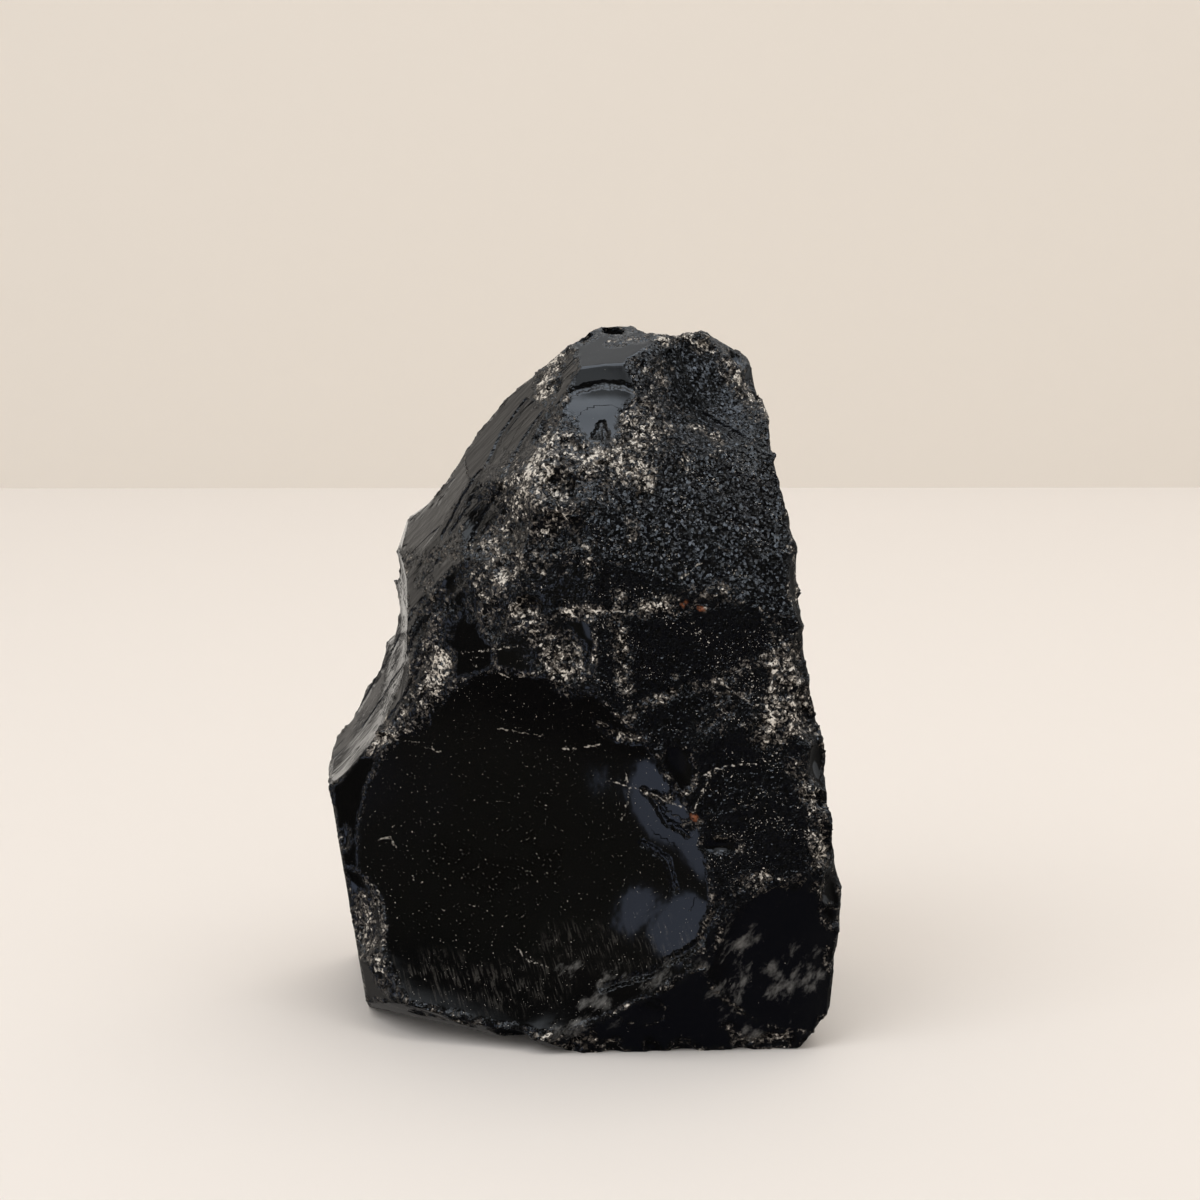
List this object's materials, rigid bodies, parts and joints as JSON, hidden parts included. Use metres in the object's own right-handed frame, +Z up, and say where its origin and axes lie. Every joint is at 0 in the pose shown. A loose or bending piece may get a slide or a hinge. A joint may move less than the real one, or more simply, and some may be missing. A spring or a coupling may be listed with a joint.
{
  "type": "obsidian chunk",
  "caption": "Rough upright chunk of black volcanic glass with shell-shaped fracture scars and crushed edges, standing on a flat face.",
  "frame": {"origin": "On the flat base face that the chunk rests on, under the middle of the body.", "axes": "+Z up, away from the base. -Y is the broad front with the great scooped scar. +X is to the right as the front is seen."},
  "size_m": [0.074, 0.0609, 0.1002],
  "materials": {
    "black_glass": "Opaque black volcanic glass: glossy on the shell-shaped scars, finely pitted on the broad face, and crushed grey-white along the ridges."
  },
  "bodies": {
    "root": {"obsidian_chunk": "black_glass"}
  },
  "joints": []
}
